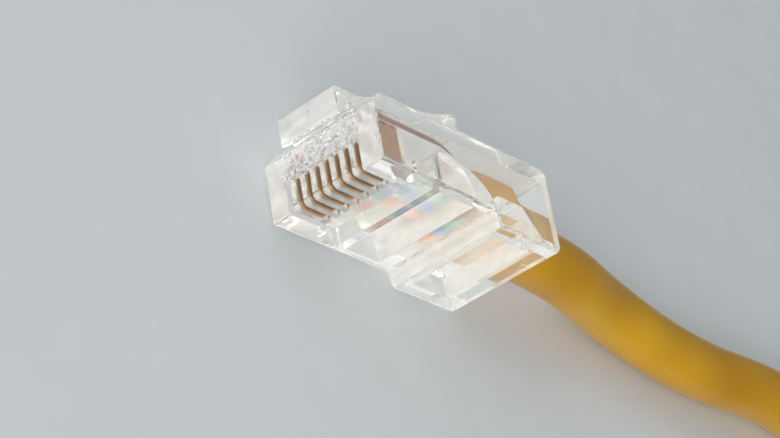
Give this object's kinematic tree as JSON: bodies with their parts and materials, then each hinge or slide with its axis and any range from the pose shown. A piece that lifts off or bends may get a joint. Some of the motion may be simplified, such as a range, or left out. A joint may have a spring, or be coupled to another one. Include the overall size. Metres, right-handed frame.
{
  "type": "modular plug patch lead",
  "caption": "Clear modular plug for network cabling, with gold-edged blades in a comb, a bending latch, coloured wires and a short yellow lead to a like plug",
  "frame": {"origin": "middle of the front face of the near plug's nose, halfway up it and halfway across it", "axes": "+X runs back along the plug to where the cable leaves, +Y points to the latch side, +Z points to the side of the eighth contact and is up as the plug lies on its side"},
  "size_m": [0.097, 0.0687, 0.0116],
  "materials": {
    "clear_moulding": "clear polished polycarbonate",
    "gold_plate": "gold plated bronze",
    "copper": "drawn copper",
    "cable_jacket": "soft satin PVC",
    "white_orange": "satin insulation",
    "orange": "satin insulation",
    "white_green": "satin insulation",
    "blue": "satin insulation",
    "white_blue": "satin insulation",
    "green": "satin insulation",
    "white_brown": "satin insulation",
    "brown": "satin insulation"
  },
  "bodies": {
    "plug": {"housing": "clear_moulding", "contact_1": "gold_plate", "contact_2": "gold_plate", "contact_3": "gold_plate", "contact_4": "gold_plate", "contact_5": "gold_plate", "contact_6": "gold_plate", "contact_7": "gold_plate", "contact_8": "gold_plate", "wire_1": "white_orange", "wire_2": "orange", "wire_3": "white_green", "wire_4": "blue", "wire_5": "white_blue", "wire_6": "green", "wire_7": "white_brown", "wire_8": "brown", "conductor_1": "copper", "conductor_2": "copper", "conductor_3": "copper", "conductor_4": "copper", "conductor_5": "copper", "conductor_6": "copper", "conductor_7": "copper", "conductor_8": "copper", "jacket_end": "cable_jacket", "cable": "cable_jacket", "far_housing": "clear_moulding", "far_contact_1": "gold_plate", "far_contact_2": "gold_plate", "far_contact_3": "gold_plate", "far_contact_4": "gold_plate", "far_contact_5": "gold_plate", "far_contact_6": "gold_plate", "far_contact_7": "gold_plate", "far_contact_8": "gold_plate", "far_wire_1": "white_orange", "far_wire_2": "orange", "far_wire_3": "white_green", "far_wire_4": "blue", "far_wire_5": "white_blue", "far_wire_6": "green", "far_wire_7": "white_brown", "far_wire_8": "brown", "far_conductors": "copper", "far_jacket_end": "cable_jacket"},
    "latch": {"latch": "clear_moulding"},
    "far_latch": {"far_latch": "clear_moulding"}
  },
  "joints": [
    {"name": "latch_flex", "type": "hinge", "parent": "plug", "child": "latch", "pos_m": [0.00085, 0.00335, 0], "axis": [0, 0, 1], "range_deg": [-13, 0], "stiffness_Nm_per_rad": 0.05},
    {"name": "far_latch_flex", "type": "hinge", "parent": "plug", "child": "far_latch", "pos_m": [0.02345, -0.05165, 0], "axis": [0, 0, 1], "range_deg": [-13, 0], "stiffness_Nm_per_rad": 0.05}
  ]
}
